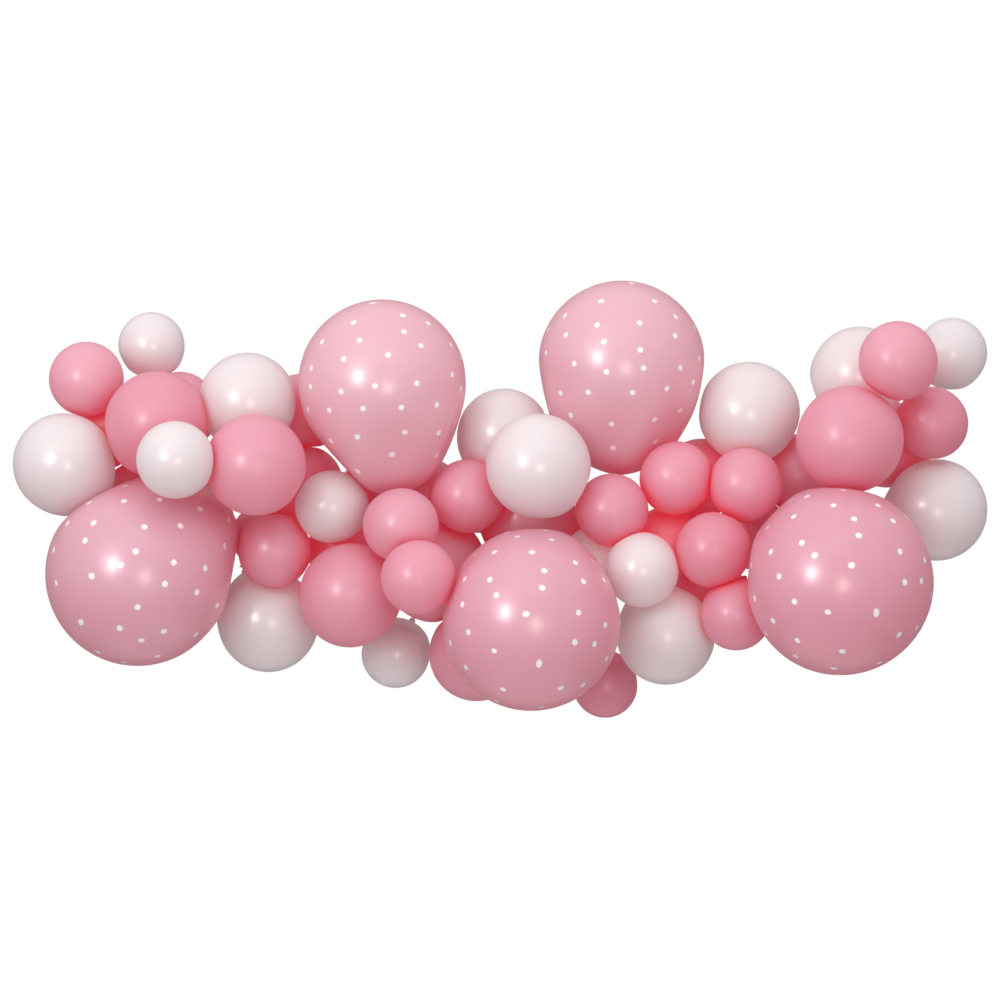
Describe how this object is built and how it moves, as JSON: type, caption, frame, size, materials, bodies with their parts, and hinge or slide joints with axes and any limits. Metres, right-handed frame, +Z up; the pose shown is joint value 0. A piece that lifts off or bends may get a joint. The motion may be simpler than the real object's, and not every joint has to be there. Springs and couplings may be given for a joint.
{
  "type": "balloon garland",
  "caption": "Hanging garland of pink, pearl white and white-dotted latex balloons tied in clusters along a bowed plastic tape.",
  "frame": {"origin": "middle of the carrier tape's back face, half way along the garland, where it is held", "axes": "+X along the garland to the viewer's right, +Y back towards the wall out of the tape's back face, +Z up"},
  "size_m": [1.5694, 0.4522, 0.7083],
  "materials": {
    "dotted_latex": "glossy mauve pink latex with round white dots printed on it",
    "pink_latex": "satin pink latex",
    "pearl_latex": "pearl white latex",
    "tape_plastic": "milky clear plastic"
  },
  "bodies": {
    "root": {"garland_tape": "tape_plastic", "dotted_balloon_1": "dotted_latex", "dotted_balloon_2": "dotted_latex", "dotted_balloon_3": "dotted_latex", "dotted_balloon_4": "dotted_latex", "dotted_balloon_5": "dotted_latex", "pink_balloon_1": "pink_latex", "pink_balloon_2": "pink_latex", "pink_balloon_3": "pink_latex", "pink_balloon_4": "pink_latex", "pink_balloon_5": "pink_latex", "pink_balloon_6": "pink_latex", "pink_balloon_7": "pink_latex", "pearl_balloon_1": "pearl_latex", "pearl_balloon_2": "pearl_latex", "pearl_balloon_3": "pearl_latex", "pearl_balloon_4": "pearl_latex", "pearl_balloon_5": "pearl_latex", "pearl_balloon_6": "pearl_latex", "pearl_balloon_7": "pearl_latex", "pearl_balloon_8": "pearl_latex", "pearl_balloon_9": "pearl_latex", "mini_pearl_balloon_1": "pearl_latex", "mini_pearl_balloon_2": "pearl_latex", "mini_pearl_balloon_3": "pearl_latex", "mini_pearl_balloon_4": "pearl_latex", "mini_pearl_balloon_5": "pearl_latex", "mini_pearl_balloon_6": "pearl_latex", "mini_pearl_balloon_7": "pearl_latex", "mini_pink_balloon_1": "pink_latex", "mini_pink_balloon_2": "pink_latex", "mini_pink_balloon_3": "pink_latex", "mini_pink_balloon_4": "pink_latex", "mini_pink_balloon_5": "pink_latex", "mini_pink_balloon_6": "pink_latex", "mini_pink_balloon_7": "pink_latex", "mini_pink_balloon_8": "pink_latex", "mini_pink_balloon_9": "pink_latex", "mini_pink_balloon_10": "pink_latex", "mini_pink_balloon_11": "pink_latex", "mini_pink_balloon_12": "pink_latex", "mini_pink_balloon_13": "pink_latex", "mini_pink_balloon_14": "pink_latex", "mini_pink_balloon_15": "pink_latex", "mini_pink_balloon_16": "pink_latex", "mini_pink_balloon_17": "pink_latex", "mini_pink_balloon_18": "pink_latex", "mini_pink_balloon_19": "pink_latex", "mini_pink_balloon_20": "pink_latex", "mini_pink_balloon_21": "pink_latex", "mini_pink_balloon_22": "pink_latex", "mini_pink_balloon_23": "pink_latex", "mini_pink_balloon_24": "pink_latex", "mini_pink_balloon_25": "pink_latex", "mini_pink_balloon_26": "pink_latex", "mini_pink_balloon_27": "pink_latex", "mini_pink_balloon_28": "pink_latex", "mini_pink_balloon_29": "pink_latex"}
  },
  "joints": []
}
